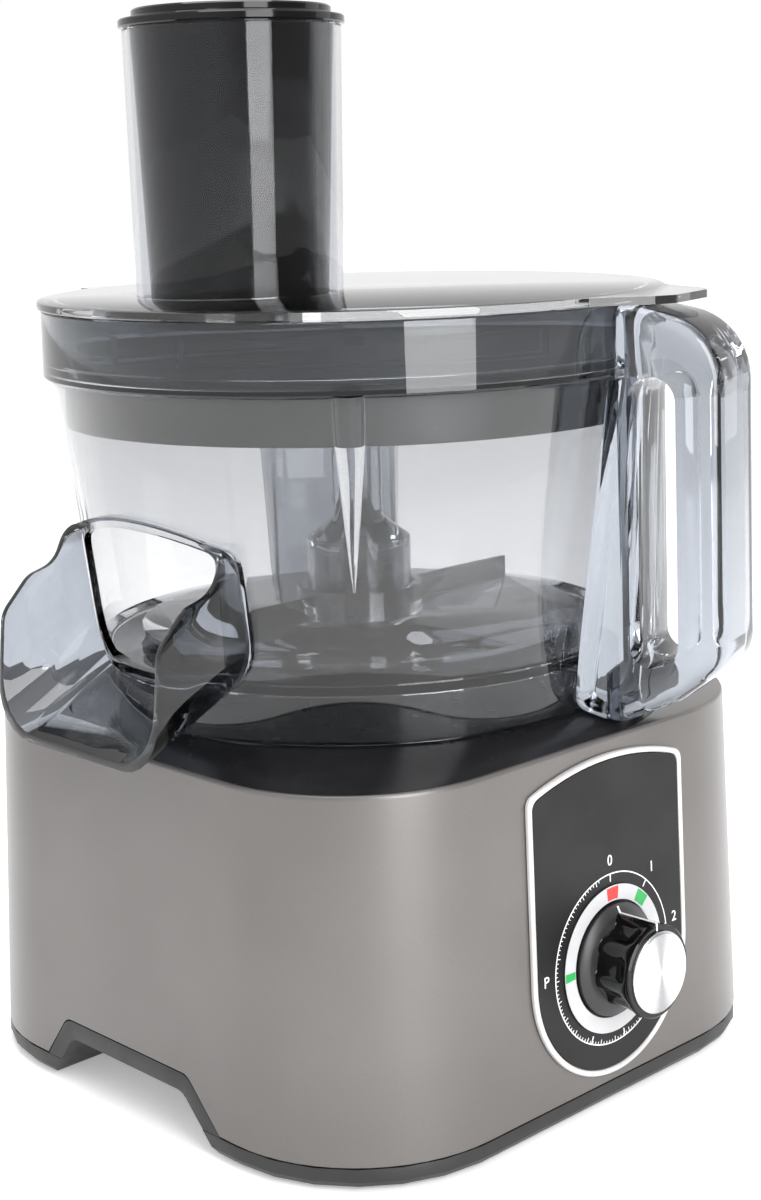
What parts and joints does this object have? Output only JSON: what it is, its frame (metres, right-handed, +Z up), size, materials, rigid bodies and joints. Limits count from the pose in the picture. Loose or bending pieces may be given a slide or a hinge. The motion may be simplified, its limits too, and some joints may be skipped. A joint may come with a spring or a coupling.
{
  "type": "food processor",
  "caption": "Countertop food processor with a motor base, clear work bowl with side discharge chute and handle, slicing disc, lid with feed tube, and pusher.",
  "frame": {"origin": "middle of the footprint on the worktop; the bowl's axis stands at X 9 mm, Y 16 mm", "axes": "+Z up along the bowl's axis, -Y towards the control panel, -X towards the discharge chute"},
  "size_m": [0.2423, 0.2599, 0.375],
  "materials": {
    "painted_metal": "satin metallic taupe grey paint",
    "black_satin": "satin",
    "black_gloss": "gloss",
    "dark_grey": "satin",
    "pale_print": "printed",
    "silver_trim": "satin",
    "smoke_clear": "clear smoke-grey",
    "steel": "brushed",
    "laminated_iron": "laminated",
    "copper": "wound",
    "aluminium": "spun",
    "natural_plastic": "satin",
    "board_green": "satin",
    "rubber": "matt"
  },
  "bodies": {
    "base": {"housing": "painted_metal", "base_tray": "black_satin", "deck": "black_satin", "control_panel": "black_satin", "panel_trim": "silver_trim", "dial_ring": "pale_print", "rotary_switch": "natural_plastic", "cord_inlet": "rubber", "motor_stator": "laminated_iron", "brush_holder_left": "natural_plastic", "brush_holder_right": "natural_plastic", "motor_bracket_lower": "aluminium", "motor_bracket_upper": "aluminium", "drive_belt": "rubber", "bearing_housing": "aluminium", "bearing_lower": "steel", "bearing_upper": "steel", "circuit_board": "board_green", "capacitor": "dark_grey", "board_stand": "natural_plastic", "interlock_switch": "black_satin", "foot_1": "rubber", "foot_screw_1": "steel", "foot_2": "rubber", "foot_screw_2": "steel", "foot_3": "rubber", "foot_screw_3": "steel", "foot_4": "rubber", "foot_screw_4": "steel"},
    "knob": {"knob": "black_gloss", "knob_cap": "aluminium", "selector_shaft": "steel"},
    "rotor": {"motor_rotor": "copper", "motor_shaft": "steel", "commutator": "copper", "motor_fan": "natural_plastic", "motor_pulley": "steel"},
    "drive": {"driven_pulley": "natural_plastic", "drive_shaft": "steel", "drive_coupling": "steel"},
    "plunger": {"interlock_plunger": "natural_plastic"},
    "bowl": {"bowl": "smoke_clear", "chute": "smoke_clear", "handle": "smoke_clear", "bowl_baffle": "smoke_clear"},
    "cutter": {"spindle": "natural_plastic", "ejector": "smoke_clear", "disc_carrier": "dark_grey", "slicing_blade": "steel"},
    "push_rod": {"interlock_rod": "natural_plastic"},
    "lid": {"lid": "smoke_clear", "feed_tube": "smoke_clear"},
    "pusher": {"pusher": "black_gloss"}
  },
  "joints": [
    {"name": "knob_turn", "type": "hinge", "parent": "base", "child": "knob", "pos_m": [0.015, -0.09546, 0.051], "axis": [0, 0.9998, -0.0195], "range_deg": [-90, 90]},
    {"name": "disc_spin", "type": "hinge", "parent": "bowl", "child": "cutter", "pos_m": [0.009, 0.016, 0.2], "axis": [0, 0, 1], "continuous": true},
    {"name": "drive_spin", "type": "hinge", "parent": "base", "child": "drive", "pos_m": [0.009, 0.016, 0.1], "axis": [0, 0, 1], "continuous": true},
    {"name": "rotor_spin", "type": "hinge", "parent": "base", "child": "rotor", "pos_m": [0.009, 0.078, 0.07], "axis": [0, 0, 1], "continuous": true},
    {"name": "bowl_lift", "type": "slide", "parent": "base", "child": "bowl", "axis": [0, 0, 1], "range_m": [0, 0.12]},
    {"name": "rod_press", "type": "slide", "parent": "bowl", "child": "push_rod", "axis": [0, 0, 1], "range_m": [-0.003, 0], "stiffness_N_per_m": 300},
    {"name": "plunger_press", "type": "slide", "parent": "base", "child": "plunger", "axis": [0, 0, 1], "range_m": [-0.003, 0]},
    {"name": "lid_lift", "type": "slide", "parent": "bowl", "child": "lid", "axis": [0, 0, 1], "range_m": [0, 0.08]},
    {"name": "pusher_slide", "type": "slide", "parent": "lid", "child": "pusher", "axis": [0, 0, 1], "range_m": [0, 0.11]}
  ],
  "couplings": [
    {"joint": "drive_spin", "follows": "disc_spin", "ratio": 1},
    {"joint": "rotor_spin", "follows": "disc_spin", "ratio": 3.3},
    {"joint": "plunger_press", "follows": "rod_press", "ratio": 1}
  ]
}
